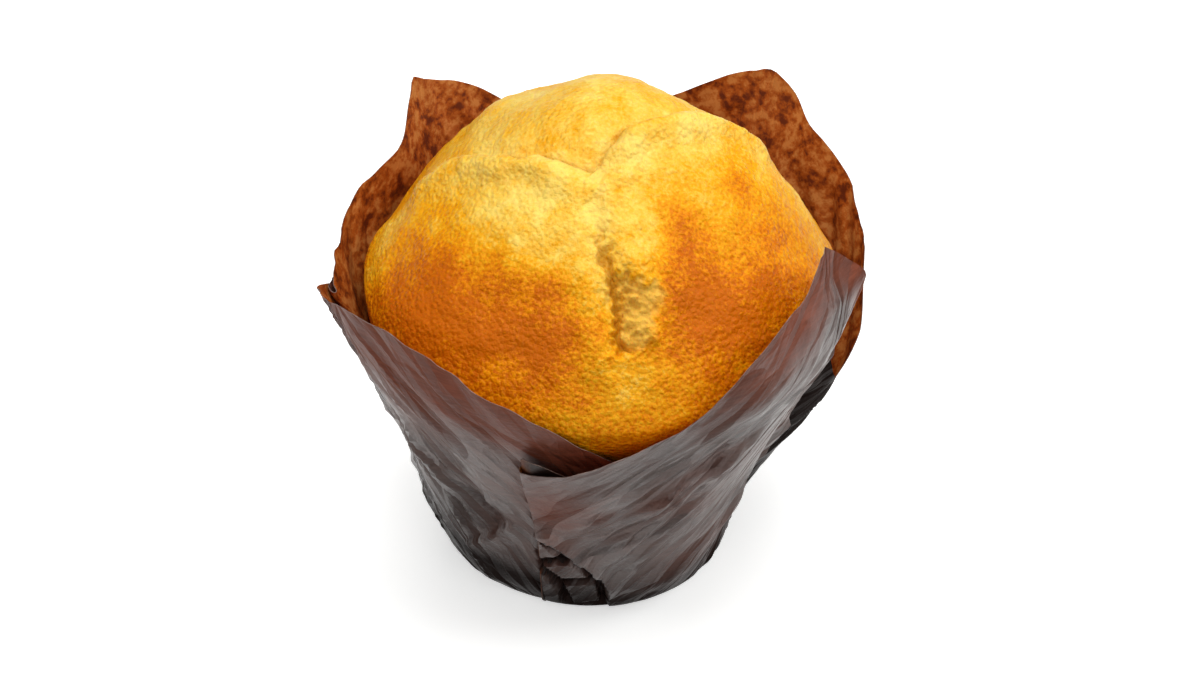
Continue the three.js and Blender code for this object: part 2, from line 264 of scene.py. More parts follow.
# Each facet's corners, and how hard it is pressed in.
TUCK_FACETS = [
    ([(-21.5, 24.0), (-8.2, 17.9), (-21.5, 15.0)], 0.35),
    ([(-21.5, 14.2), (-6.6, 16.9), (2.2, 11.2), (-11.5, 9.6)], 0.42),
    ([(-13, 9.2), (3.0, 10.6), (6.4, 3.0), (-8, 2.0)], 0.5),
    ([(-22, 14), (-20, 13.9), (-12, 8.6), (-9.5, 2), (-22, 2)], 0.3),
]

# Long pulls that spread from each pleat towards the petals' tips: foot azimuth, tip azimuth,
# height of the tip, and how many.
PULLS = [
    (-18, 64, 74, 15), (88, 66, 74, 5), (94, 140, 70, 9), (186, 146, 70, 9), (194, 222, 70, 7),
    (268, 226, 66, 9), (274, 294, 66, 6), (332, 297, 66, 13),
]


# ---- curves ----
def run_between(xs, ys, k, x, start, end):
    """Smooth curve from point k to the next one, with the given slopes at its start and end."""
    h = xs[k + 1] - xs[k]
    t = (x - xs[k]) / h
    t2, t3 = t * t, t * t * t
    return ((2 * t3 - 3 * t2 + 1) * ys[k] + (t3 - 2 * t2 + t) * h * start
            + (3 * t2 - 2 * t3) * ys[k + 1] + (t3 - t2) * h * end)


def curve_through(xs, ys, x):
    """Smooth curve through the points (xs, ys), continued straight past its end."""
    last = len(xs) - 1

    def slope(k):
        a, b = max(k - 1, 0), min(k + 1, last)
        return (ys[b] - ys[a]) / (xs[b] - xs[a])

    if x >= xs[last]:
        return ys[last] + slope(last) * (x - xs[last])
    k = max(bisect.bisect_left(xs, x) - 1, 0)
    return run_between(xs, ys, k, x, slope(k), slope(k + 1))


def smoothstep(x, low, high):
    t = min(max((x - low) / (high - low), 0.0), 1.0)
    return t * t * (3 - 2 * t)


def lerp(a, b, t):
    return a + (b - a) * t


def bell(x, width):
    return math.exp(-(x / width) ** 2)


def place_round(angle, radius, height):
    """The place at an angle from the front, round the upright axis."""
    return Vector((radius * math.sin(angle), -radius * math.cos(angle), height))


def turned(azimuth):
    """An azimuth brought between -180 and 180."""
    return (azimuth + 180) % 360 - 180


def steady_curve(xs, ys, corners, x):
    """Curve through the points that never overshoots, with a kink at each corner."""
    k = min(max(bisect.bisect_right(xs, x) - 1, 0), len(xs) - 2)
    steps = [(ys[i + 1] - ys[i]) / (xs[i + 1] - xs[i])
             for i in range(max(k - 1, 0), min(k + 2, len(xs) - 1))]
    here = steps[min(k, 1)]

    def slope(before, after, corner):
        if corner:
            return here
        return 0.0 if before * after <= 0 else 2 * before * after / (before + after)

    start = slope(steps[0], here, corners[k] or k == 0)
    end = slope(here, steps[-1], corners[k + 1] or k == len(xs) - 2)
    return run_between(xs, ys, k, x, start, end)


def side_of_line(x, y, points):
    """Distance from (x, y) to a line through points, positive on its left, and the share along it."""
    best = None
    total = len(points) - 1
    for k in range(total):
        (ax, ay), (bx, by) = points[k], points[k + 1]
        dx, dy = bx - ax, by - ay
        t = min(max(((x - ax) * dx + (y - ay) * dy) / (dx * dx + dy * dy), 0.0), 1.0)
        ox, oy = x - ax - dx * t, y - ay - dy * t
        gap = math.hypot(ox, oy)
        if best is None or gap < best[0]:
            best = (gap, math.copysign(gap, dx * oy - dy * ox), (k + t) / total)
    return best[1], best[2]


def depth_inside(x, y, corners):
    """Distance inside a convex outline, negative outside it."""
    distances = []
    for k, (ax, ay) in enumerate(corners):
        bx, by = corners[(k + 1) % len(corners)]
        distances.append(((bx - ax) * (y - ay) - (by - ay) * (x - ax)) / math.hypot(bx - ax, by - ay))
    return min(distances) if sum(distances) > 0 else min(-d for d in distances)


# ---- the paper case ----
PADDED = [azimuth + 360 * turn for turn in (-1, 0, 1) for azimuth, _ in CASE_RADII]
LEVEL_CURVES = [[radii[level] for _ in range(3) for _, radii in CASE_RADII] for level in range(len(LEVELS))]


def case_radius(azimuth, height, layer, settings):
    """Radius of the case at an azimuth and height, on a layer of its pleats, in millimetres."""
    around = azimuth % 360
    radii = [curve_through(PADDED, values, around) for values in LEVEL_CURVES]
    in_pocket = bell(turned(azimuth - POCKET_AZIMUTH), POCKET_SPREAD)
    in_pocket *= smoothstep(height, POCKET_START, POCKET_FULL)
    step = settings.layer_step / MM * smoothstep(height, 0, PLEAT_START) + POCKET_STEP * in_pocket
    heights = [0, HEEL_HEIGHT, *LEVELS]
    radii = [settings.base_radius / MM, settings.heel_radius / MM, *radii]
    return curve_through(heights, radii, height) + layer * step


def rim_columns():
    """The walk round the sheet's edge in even steps: (top, foot, layer, rim height, petal) for each."""
    stops = [(petal, place) for petal, places in enumerate(PETALS) for place in places]
    first_again = [(top + 360, foot + 360, *rest) for top, foot, *rest in FRONT_RIGHT[:3]]
    walk = [place for _, place in stops] + first_again
    at = [0.0]
    for a, b in zip(walk, walk[1:]):
        at.append(at[-1] + math.hypot(RIM_DEGREE * (b[0] - a[0]), LAYER_GAP * (b[2] - a[2]), b[3] - a[3]))
    corners = ["corner" in place for place in walk]
    tracks = [[place[i] for place in walk] for i in range(4)]
    columns = []
    for k, (petal, place) in enumerate(stops):
        width = FINE_COLUMN_WIDTH if petal == 0 and place[0] < FINE_UNTIL else COLUMN_WIDTH
        pieces = max(2, round((at[k + 1] - at[k]) / width))
        for j in range(pieces):
            x = lerp(at[k], at[k + 1], j / pieces)
            columns.append([steady_curve(at, track, corners, x) for track in tracks] + [petal])
    return columns


def pulls(rng):
    """The long wrinkles that the folding pulled into the paper, as creases."""
    made = []
    for foot, tip, tip_height, count in PULLS:
        for _ in range(count):
            low = (foot + (tip - foot) * rng.uniform(-0.05, 0.55), rng.uniform(5, 42))
            high = (lerp(foot, tip, rng.uniform(0.75, 1.15)), tip_height * rng.uniform(0.6, 1.05))
            start = rng.uniform(0.0, 0.45)
            end = start + rng.uniform(0.25, 0.55)
            a = (lerp(low[0], high[0], start), lerp(low[1], high[1], start))
            b = (lerp(low[0], high[0], end), lerp(low[1], high[1], end))
            narrow, broad = rng.uniform(0.8, 1.5), rng.uniform(2.0, 4.5)
            reach = (narrow, broad) if rng.random() < 0.5 else (broad, narrow)
            made.append((a, b, reach, rng.choice((1, 1, -1)) * rng.uniform(0.5, 1.3)))
    return made


def crease_height(azimuth, height, mm_per_degree, creases):
    """How far the creases lift the paper at a place, in units of their heights."""
    total = 0.0
    for (az_a, z_a), (az_b, z_b), (left, right), rise in creases:
        dx, dz = turned(az_b - az_a) * mm_per_degree, z_b - z_a
        x, z = turned(azimuth - az_a) * mm_per_degree, height - z_a
        run = math.hypot(dx, dz)
        along = (x * dx + z * dz) / run
        if not -2 < along < run + 2:
            continue
        across = (dx * z - dz * x) / run
        reach = left if across > 0 else right
        if abs(across) >= reach:
            continue
        taper = smoothstep(along, -2, 0.25 * run) * smoothstep(run + 2 - along, 0, 0.25 * run + 2)
        total += rise * taper * (1 - abs(across) / reach)
    return total


def front_tuck(azimuth, height):
    """The front tuck: how hard the paper is pressed in, from 0 to 1, and how far its lip stands out."""
    if not -21 < azimuth < 12 or not 0 < height < 30:    # far from the tuck
        return 0.0, 0.0
    here = azimuth * TUCK_DEGREE, height
    side, share = side_of_line(*here, [(a * TUCK_DEGREE, z) for a, z in TUCK_LIP])
    if side > 0:
        ends = smoothstep(share, 0, 0.1) * smoothstep(1 - share, 0, 0.15)
        return 0.0, TUCK_LIP_HEIGHT * smoothstep(TUCK_LIP_REACH - side, 0, TUCK_LIP_REACH) * ends
    pressed = smoothstep(-side, 0.0, TUCK_EDGE)
    for corners, level in TUCK_FACETS:
        inside = depth_inside(*here, [(a * TUCK_DEGREE, z) for a, z in corners])
        pressed = min(pressed, lerp(pressed, level, smoothstep(inside, 0.45, 0.95)))
    return pressed * smoothstep(height, 0.5, 4) * smoothstep(azimuth, TUCK_START, TUCK_FULL), 0.0


def wrinkled(petal, azimuth, height, place):
    """Height of the wrinkles along a petal's pull, and the place along and across it."""
    tip, before, after = SLANTS[petal]
    x = WALL_DEGREE * turned(azimuth - tip)
    slant = math.radians(lerp(before, after, smoothstep(x, -3, 3)))
    along = x * math.cos(slant) + height * math.sin(slant)
    across = height * math.cos(slant) - x * math.sin(slant)
    broad = 0.55 - 2 * abs(noise(Vector((across / 5.0, along / 26, petal * 7.3))))
    narrow = 0.55 - 2 * abs(noise(Vector((across / 2.4, along / 13, petal * 5.1 + 40))))
    calm = smoothstep(noise(place / 19 + Vector((4, 4, 4))), -0.25, 0.3)
    return lerp(0.25, 1, calm) * (0.45 * broad + 0.2 * narrow), along, across


def paper_tones(petal, azimuth, height, rim, pressed):
    """How red the paper is at a place, and how much painted shade it has, each from 0 to 1."""
    near_rim = smoothstep(height, rim - 18, rim - 6)
    red = (0.9 * bell(azimuth + 12, 11) * bell(height - 36, 10)
           + 0.35 * bell(azimuth - 45, 22) * bell(height - 14, 7))
    # painted shade, darker towards the heel
    dark = 1 - smoothstep(height, 3, 20)
    if petal == 0:
        red += 0.9 * smoothstep(height, rim - 13, rim - 4) * smoothstep(azimuth, 15, 48)
    elif petal == 3:
        red += 1.0 * near_rim + 0.6 * bell(azimuth + 50, 16) * smoothstep(height, rim - 30, rim - 12)
        # painted shade low on the front left petal's left side
        dark += 0.8 * bell(azimuth + 60, 36) * (1 - smoothstep(height, 14, 42))
    else:
        red += 0.5 * near_rim
    # painted shade on the back right petal's strip beside the pleat, where the front right petal shades it
    if petal == 1 and azimuth > 0:
        dark = max(dark, 1 - smoothstep(azimuth, 98, 108))
    # painted shade in the gaps of the tuck
    dark = max(dark, smoothstep(pressed, 0.55, 0.9))
    return min(red, 1.0), min(dark, 1.0)


def muffin_side(height):
    """Radius of the muffin inside the case, at a height below its waist."""
    return curve_through([0, 15, 30, 45, 60], [20.6, 24.9, 29.7, 35.1, 42], height)


def fold_case(settings):
    """The sheet of paper, folded: a grid rolled round the muffin, with the walk as its rim."""
    columns = rim_columns()
    rows = settings.row_count
    stacks = rows + BASE_RINGS
    tall = settings.wrinkle_height / MM
    wrinkles = CREASES + [(a, b, reach, rise * tall) for a, b, reach, rise in pulls(random.Random(SEED))]
    bm = bmesh.new()
    bmesh.ops.create_grid(bm, x_segments=len(columns), y_segments=stacks, size=0.5)
    red, paper_shade, tucked = (bm.verts.layers.float.new(name) for name in ("red_patch", "paper_shade", "tucked"))
    sheet_place, pull_place = {}, {}
    order = sorted(bm.verts, key=lambda v: (round((v.co.x + 0.5) * len(columns)), v.co.y))
    for vertex in order:
        column = round((vertex.co.x + 0.5) * len(columns))
        row = round((vertex.co.y + 0.5) * stacks)
        top, foot, layer, rim, petal = columns[column % len(columns)]
        sheet_angle = 2 * math.pi * column / len(columns)
        along = across = pressed = 0.0
        if row < BASE_RINGS:
            share = row / BASE_RINGS
            radius, height, azimuth = settings.base_radius / MM * share, 0.0, foot
            reach = radius
        else:
            share = ((row - BASE_RINGS) / rows) ** ROW_CROWDING
            azimuth, height = lerp(foot, top, share), rim * share
            radius = case_radius(azimuth, height, layer, settings)
            here = turned(azimuth)
            rooted = smoothstep(height, 0.5, 7)    # the wrinkles die out at the heel
            place = place_round(math.radians(azimuth), radius, height)
            lift, along, across = wrinkled(petal, azimuth, height, place)
            lift *= tall / WRINKLE_RELIEF
            lift += crease_height(here, height, radius * math.pi / 180, wrinkles)
            lift += 0.8 * noise(place / 17)
            pressed, lip = front_tuck(here, height)
            radius += rooted * lift * (1 - 0.6 * pressed) + lip
            tucked_radius = muffin_side(height) + TUCK_CLEARANCE + TUCK_LAYER_STEP * layer
            radius = lerp(radius, tucked_radius, pressed)
            uneven_edge = 0.4 * noise(Vector((top / 5.0, layer, 3.0))) * share ** 8
            height += uneven_edge - 0.35 * lip
            reach = settings.base_radius / MM + height * SHEET_SLACK
        place = place_round(math.radians(azimuth), radius, height)
        place.x += LEAN * height
        vertex.co = place * MM
        sheet_place[vertex] = (reach * math.cos(sheet_angle) * MM, reach * math.sin(sheet_angle) * MM)
        pull_place[vertex] = (along * MM, (across + 60 * petal) * MM)
        vertex[red], vertex[paper_shade] = paper_tones(petal, turned(azimuth), height, rim, pressed)
        # painted shade inside the tuck and the front pleat's pocket
        in_pleat = smoothstep(top, PLEAT_DARK_FROM, PLEAT_DARK_FULL) if petal == 3 else 0
        vertex[tucked] = max(min(2 * pressed, 1), in_pleat)
    bmesh.ops.remove_doubles(bm, verts=bm.verts, dist=1e-6)
    sheet, pull = bm.loops.layers.uv.new("sheet"), bm.loops.layers.uv.new("pull")
    for face in bm.faces:
        face.smooth = True
        for loop in face.loops:
            loop[sheet].uv = sheet_place[loop.vert]
            loop[pull].uv = pull_place[loop.vert]
    lowest = min(bm.faces, key=lambda f: f.calc_center_median().z)
    if lowest.normal.z > 0:
        bmesh.ops.reverse_faces(bm, faces=bm.faces)
    return bm


def bake_modifiers(obj, angle):
    """Bakes the modifiers into the mesh and marks its sharp edges."""
    graph = bpy.context.evaluated_depsgraph_get()
    mesh = bpy.data.meshes.new_from_object(obj.evaluated_get(graph), depsgraph=graph)
    obj.modifiers.clear()
    obj.data = mesh
    mesh.set_sharp_from_angle(angle=angle)


# ---- the muffin, in millimetres ----
FRONT_SAG = 3.5                # the dome's widest part hangs lower at the front
DOME_ROUNDNESS = 1.42          # between 1, a cone, and 2, a round dome
DOME_LENGTH = 0.47             # share of the profile's length above the waist
DOME_TURN = 0.66               # share of the ball's half turn that makes the dome, so that its mesh is fine
FINE_BESIDE = 4.5              # the mesh is twice as fine this close to a crack
HIDDEN_BAKE = 0.75             # browning inside the case

# The three lobes, with places and spread as shares of the waist's radius: x, y, spread and rise.
MOUNDS = [(0.02, 0.42, 0.42, 5.6), (-0.38, -0.22, 0.40, 1.2), (0.46, 0.04, 0.38, 2.8)]

# Dents and bumps of the dome: place seen from above, spread and rise.
DENTS = [
    ((-37, 14), 6.5, -1.5), ((-18.5, 22), 8.0, 2.5), ((14.8, 20.5), 6.0, -3.8),
    ((32, 16), 6.5, -3.0), ((39, 8.5), 4.5, -1.3),
]

# The cracks between the three lobes, as places on the crust.
BACK_LEFT_CRACK = [(-37, 8, 72), (-28.7, 6.3, 76), (-22.5, 4.9, 80), (-17, -0.5, 85),
                   (-12.9, -3.7, 87.7), (-5.2, -7.9, 89), (-1.5, -8.5, 89.3)]
BACK_RIGHT_CRACK = [(-1, -7.5, 89.7), (2.4, -1.2, 90), (7.6, 2, 90), (15.9, 7.1, 88),
                    (24.8, 10.9, 81), (31, 13, 76)]
FRONT_CRACK = [(-1.5, -8.5, 89.3), (-1.2, -14.4, 86), (-1.1, -19, 83.4), (-0.2, -22.8, 81),
               (0.5, -24.8, 79.3), (2.3, -27.3, 77), (2.4, -31.6, 73.9), (3.3, -34.7, 71),
               (5.6, -36.5, 68.8)]
TEAR_EDGE = [(4.5, -21.5, 80), (8.2, -24.7, 77.5), (10.4, -26.7, 76.5), (10.4, -29.4, 74.4),
             (8.8, -32.8, 71.7), (7.2, -35, 70.2), (5.6, -36.5, 68.8)]

# Browning: place seen from above, spread in millimetres and strength.
BROWNING = [
    ((-31, -13), (8, 8), 0.42), ((-26, -22), (9, 7), 0.55), ((-16, -29), (10, 6), 0.5),
    # the negative entries at the dome's left and right edges, (-39, 0) and (38, 2), are painted light: they
    # make the crust paler where the petals shade it
    ((-39, 0), (5, 12), -0.12), ((-8, -34), (8, 5), 0.42), ((14, -17), (5, 8), 0.42),
    ((15, -27), (8, 6), 0.5), ((25, -22), (9, 9), 0.5), ((30, -8), (7, 9), 0.35),
    ((22, -4), (4, 5), 0.3), ((38, 2), (5, 12), -0.15), ((-9, -26.5), (4, 2.5), 0.25),
    ((0, 40), (30, 6), 0.35), ((-17, -13), (8, 5), -0.15), ((14, -8), (7, 7), 0.08),
    ((13, 1), (6, 5), -0.14), ((18, -32), (5, 4), 0.14), ((4, -39), (9, 5), -0.2),
]


def muffin_profile(settings):
    """Profile of the muffin from the middle of its underside to its top: radius and height."""
    foot, floor = settings.foot_radius / MM, MUFFIN_FLOOR
    waist, width, top = settings.waist_height / MM, settings.waist_radius / MM, settings.dome_top / MM
    heights = [floor + 2.5, 15, 30, 45, 50, 55, 58, waist]
    radii = [foot + 0.8, 24.9, 29.7, 35.1, 37.8, 40.3, 41.5, width]
    points = [(foot * k / 6, floor) for k in range(6)]
    points += [(foot - 0.7, floor + 0.1), (foot + 0.3, floor + 0.8)]
    for k in range(25):
        height = lerp(heights[0], waist, k / 24)
        points.append((curve_through(heights, radii, height), height))
    for k in range(1, 61):
        angle = math.pi / 2 * k / 60
        out = max(math.cos(angle), 0) ** (2 / DOME_ROUNDNESS)
        up = math.sin(angle) ** (2 / DOME_ROUNDNESS)
        points.append((width * out, waist + (top - waist) * up))
    return points


def profile_reader(points):
    """Reads the profile by its arc length, as a share from 0 at the underside to 1 at the top."""
    at = [0.0]
    for (ax, ay), (bx, by) in zip(points, points[1:]):
        at.append(at[-1] + math.hypot(bx - ax, by - ay))

    def read(share):
        x = share * at[-1]
        k = min(max(bisect.bisect_right(at, x) - 1, 0), len(points) - 2)
        t = (x - at[k]) / (at[k + 1] - at[k])
        (ax, ay), (bx, by) = points[k], points[k + 1]
        run = math.hypot(bx - ax, by - ay)
        return lerp(ax, bx, t), lerp(ay, by, t), (by - ay) / run, -(bx - ax) / run

    return read


def near_path(place, outward, path):
    """Distance along the crust from a place to a path, its side of the path, and the share along it."""
    best = None
    count = len(path) - 1
    for k in range(count):
        a, b = path[k], path[k + 1]
        run = b - a
        t = min(max((place - a).dot(run) / run.length_squared, 0.0), 1.0)
        away = place - a - run * t
        away -= outward * away.dot(outward)
        gap = away.length
        if best is None or gap < best[0]:
            best = (gap, run.x * away.y - run.y * away.x, (k + t) / count)
    return best[0], (1 if best[1] > 0 else -1), best[2]


def noise_vector(place, size):
    """Smooth noise of a given size, as a vector."""
    here = place / size
    return Vector([noise(here + Vector(shift)) for shift in ((0, 0, 0), (9, 1, 4), (2, 8, 5))])


def crust_shape(place, outward, settings, paths):
    """How far the crust stands out at a place on the dome, and its bake, crumb and the painted shade of its
    cracks and pores.
    """
    x, y = place.x, place.y
    width = settings.waist_radius / MM
    depth = settings.crack_depth / MM
    rise = sum(h * bell(math.hypot(x / width - cx, y / width - cy), spread) for cx, cy, spread, h in MOUNDS)
    rise += sum(h * bell(math.hypot(x - cx, y - cy), spread) for (cx, cy), spread, h in DENTS)
    # waves 3 mm and 1 mm long, so that no crack runs smoothly
    wavy = place + noise_vector(place, 3.1) * 0.8
    bent = place + noise_vector(place, 3.1) * 1.5 + noise_vector(place, 1.1) * 0.9
    back_left, back_right, front, tear = paths

    # the front lobes' edges swell over the back lobe, which falls away under them
    from_junction = smoothstep((place - front[0]).length, 1.5, 9.0)
    grooves = []
    # each back crack: its path, how far the front lobe's lip swells, how far the back lobe falls away, its
    # share of the crack depth, and how dark its painted shade is
    for path, lip, fall, depth_share, dark in (
            (back_left, 2.4, 1.6, 0.45, 0.5),
            (back_right, 2.2, 1.5, 0.4, 0.35)):
        gap, side, share = near_path(wavy, outward, path)
        ends = smoothstep(share, 0.0, 0.2) if path is back_left else smoothstep(1 - share, 0.0, 0.2)
        rise += ends * (lip * bell(gap - 2.8, 2.8) * from_junction if side < 0 else -fall * bell(gap, 4.5))
        grooves.append((depth * depth_share * ends * lerp(0.3, 1, from_junction) * bell(gap, 0.8),
                        dark * ends * bell(gap, 0.5 if side < 0 else 0.9),
                        ends * bell(gap, 1.3 if side < 0 else 2.4)))

    # the front crack opens as it goes down, and the right lobe stands higher than the left one
    gap, side, share = near_path(bent, outward, front)
    ends = smoothstep(1 - share, 0.0, 0.12)
    opening = smoothstep(share, 0.1, 0.6)
    rise += (1.5 if side > 0 else 0.9) * bell(gap - 4.2, 3.0) * ends * lerp(0.4, 1, opening)
    # the groove's depth, the painted shade in it, darker as the crack opens, and the paler band beside it
    grooves.append((ends * depth * lerp(0.15, 0.8, opening) * bell(gap, 0.9),
                    ends * lerp(0.1, 0.75, opening) * bell(gap, 0.6), ends * bell(gap, 2.0)))
    deepest, crack, valley = (max(values) for values in zip(*grooves))
    rise -= deepest

    # between the front crack and the tear's edge the crumb is torn open, deepest at the crack
    tear_gap, tear_side, _ = near_path(bent, outward, tear)
    in_tear = min(gap if side > 0 else -gap, tear_gap if tear_side < 0 else -tear_gap)
    torn = smoothstep(in_tear, -0.3, 1.8) * smoothstep(place.z, 66, 70) * smoothstep(78 - bent.z, 0, 1.0)
    if torn > 0:
        rise -= torn * lerp(1.5, 0.2, gap / (gap + tear_gap))
        rise += torn * (0.8 * noise(place / 2.2) + 0.5 * noise(place / 1.1)
                        + 0.3 * noise(place / 0.7))
        # painted shade in the pores of the torn crumb
        crack += 0.5 * torn * smoothstep(noise(place / 1.9 + Vector((7, 7, 7))), 0.25, 0.5)

    rise += 0.8 * noise(place / 12) + 0.35 * noise(place / 5)
    rise += 0.16 * noise(place / 2.1) + 0.12 * noise(place / 1.0)

    # browner towards the waist, with the listed patches and mottling 7, 3 and 1 mm across
    low = 1 - (place.z - settings.waist_height / MM) / 30
    bake = 0.21 + 0.42 * smoothstep(low, 0.25, 0.95) + 0.1 * smoothstep(low, 0.8, 1.2)
    for (cx, cy), (sx, sy), strength in BROWNING:
        bake += strength * math.exp(-((x - cx) / sx) ** 2 - ((y - cy) / sy) ** 2)
    bake += (0.2 * noise(place / 7) + 0.14 * noise(place / 3.2)
             + 0.08 * noise(place / 1.3))
    # browner in the cracks, as painted warm shade, and paler beside them
    bake += 0.3 * crack - 0.2 * valley
    return rise, bake, 0.85 * torn, min(crack, 1.0)


def bake_muffin(settings):
    """The muffin in one piece: a ball stretched to its profile, with its lobes, cracks and crust."""
    read = profile_reader(muffin_profile(settings))
    paths = [[Vector(p) for p in path]
             for path in (BACK_LEFT_CRACK, BACK_RIGHT_CRACK, FRONT_CRACK, TEAR_EDGE)]
    bm = bmesh.new()
    bmesh.ops.create_icosphere(bm, subdivisions=settings.subdivisions, radius=1.0)
    waist = settings.waist_height / MM

    def plain_place(vertex):
        """Where a vertex of the ball lands on the plain muffin, with the way out there."""
        polar = math.acos(min(max(vertex.co.z, -1), 1)) / math.pi
        angle = math.atan2(vertex.co.x, -vertex.co.y)
        if polar < DOME_TURN:
            from_top = DOME_LENGTH * polar / DOME_TURN
        else:
            from_top = lerp(DOME_LENGTH, 1, (polar - DOME_TURN) / (1 - DOME_TURN))
        radius, height, out, up = read(1 - from_top)
        sag = bell(turned(math.degrees(angle)), 55)
        sag *= smoothstep(height, 44, waist) * smoothstep(84 - height, 0, 24)
        return place_round(angle, radius, height - FRONT_SAG * sag), place_round(angle, out, up)

    beside = {v for v in bm.verts if v.co.z > 0.2
              and min(near_path(*plain_place(v), path)[0] for path in paths) < FINE_BESIDE}
    edges = [e for e in bm.edges if e.verts[0] in beside and e.verts[1] in beside]
    bmesh.ops.subdivide_edges(bm, edges=edges, cuts=1, use_grid_fill=True)
    bmesh.ops.triangulate(bm, faces=[f for f in bm.faces if len(f.verts) > 3])
    for vertex in bm.verts:
        vertex.co.normalize()

    bake, crumb, crack = (bm.verts.layers.float.new(name) for name in ("bake", "crumb", "crack"))
    for vertex in bm.verts:
        place, outward = plain_place(vertex)
        on_dome = smoothstep(place.z, waist - 6, waist + 6)
        rise = 0.0
        vertex[bake] = HIDDEN_BAKE
        if on_dome > 0:
            rise, browned, vertex[crumb], vertex[crack] = crust_shape(place, outward, settings, paths)
            vertex[bake] = lerp(HIDDEN_BAKE, browned, smoothstep(place.z, waist - 6, waist))
        place += outward * rise * on_dome
        place.x += LEAN * place.z
        vertex.co = place * MM
    for face in bm.faces:
        face.smooth = True
    bmesh.ops.recalc_face_normals(bm, faces=bm.faces)
    return bm


# ---- materials ----
def add_node(tree, kind, inputs=(), **settings):
    """Adds a node, sets it, and gives each input a value, or the node or output that feeds it.

    The inputs are a dict by name or place, or a tuple from the first input on.
    """
    node = tree.nodes.new("ShaderNode" + kind)
    for name, value in settings.items():
        setattr(node, name, value)
    for name, value in enumerate(inputs) if isinstance(inputs, tuple) else inputs.items():
        if isinstance(value, bpy.types.Node):
            value = next(output for output in value.outputs if output.enabled)
        if isinstance(value, bpy.types.NodeSocket):
            tree.links.new(value, node.inputs[name])
        else:
            node.inputs[name].default_value = value
    return node


def new_material(name):
    material = bpy.data.materials.new(name)
    material.use_nodes = True
    tree = material.node_tree
    tree.nodes.clear()
    return material, tree


def finish_material(material, surface):
    add_node(material.node_tree, "OutputMaterial", {"Surface": surface})
    return material


def set_ramp(node, stops):
    ramp = node.color_ramp
    while len(ramp.elements) < len(stops):
        ramp.elements.new(1.0)
    for element, (position, rgb) in zip(ramp.elements, stops):
        element.position = position
        element.color = (*rgb, 1)


def crust_material(settings):
    """Baked sponge crust, from an oven: satin where it is brown, mealy where it tore, with painted shade in
    its cracks and pores.
    """
    material, tree = new_material("Baked sponge crust")
    place = add_node(tree, "TexCoord").outputs["Object"]
    bake, crumb, crack = (add_node(tree, "Attribute", attribute_name=name).outputs["Fac"]
                          for name in ("bake", "crumb", "crack"))
    grain = 1 / settings.grain
    speckle = add_node(tree, "TexNoise", {"Vector": place, "Scale": grain, "Detail": 2.0, "Roughness": 0.6})
    blotch = add_node(tree, "TexNoise", {"Vector": place, "Scale": grain / 5, "Detail": 2.0,
                                         "Roughness": 0.55})
    bubbles = add_node(tree, "TexVoronoi", {"Vector": place, "Scale": grain * 0.7, "Randomness": 1.0},
                       feature="F1")
    # what the speckle adds to the bake, less on the pale tops: the crust's own grain, with a painted
    # highlight on the raised grains and painted shade in the dips; and what the blotches add
    spread = add_node(tree, "MapRange", (speckle, 0.3, 0.7, 0.3, -0.32))
    browned = add_node(tree, "MapRange", (bake, 0.1, 0.7, 0.3, 0.75))
    patch = add_node(tree, "MapRange", (blotch, 0.3, 0.7, -0.09, 0.09))
    spread = add_node(tree, "Math", (spread, browned), operation="MULTIPLY")
    tone = add_node(tree, "Math", (bake, spread), operation="ADD")
    tone = add_node(tree, "Math", (tone, patch), operation="ADD")
    crust = add_node(tree, "ValToRGB", {"Fac": tone})
    set_ramp(crust, [(0.0, settings.cream), (0.17, settings.pale), (0.42, settings.golden),
                     (0.7, settings.amber), (1.0, settings.brown)])
    torn = add_node(tree, "Mix", {0: crumb, 6: crust, 7: (*settings.crumb, 1)}, data_type="RGBA")
    # painted shade in the cracks and the torn crumb's pores
    groove = add_node(tree, "Mix", {0: crack, 6: torn, 7: (*settings.groove, 1)}, data_type="RGBA")
    height = add_node(tree, "Math", (speckle, bubbles), operation="SUBTRACT")
    bump = add_node(tree, "Bump", {"Strength": 1.0, "Distance": 0.28 * MM, "Height": height})
    surface = add_node(tree, "BsdfPrincipled", {
        "Base Color": groove, "Roughness": 0.42, "Normal": bump,
        "IOR": 1.45, "Specular IOR Level": 0.12,
        "Subsurface Weight": 0.2, "Subsurface Radius": (1.0, 0.35, 0.08), "Subsurface Scale": 1.2 * MM})
    return finish_material(material, surface)


def crease_field(tree, vector, per_metre):
    """Long flat facets with sharp creases between: the height of a place, and a grey for each facet."""
    scaled = add_node(tree, "Mapping", {"Vector": vector, "Scale": per_metre})
    bend = add_node(tree, "TexNoise", {"Vector": scaled, "Scale": 0.8, "Detail": 0.0},
                    noise_dimensions="2D")
    bent = add_node(tree, "VectorMath", {0: bend.outputs["Color"], 1: (0.7, 0.7, 0.0), 2: scaled},
                    operation="MULTIPLY_ADD")
    ridges, facets = (add_node(tree, "TexVoronoi", {"Vector": bent, "Scale": 1.0}, feature=feature,
                               voronoi_dimensions="2D") for feature in ("DISTANCE_TO_EDGE", "F1"))
    return ridges, facets.outputs["Color"]


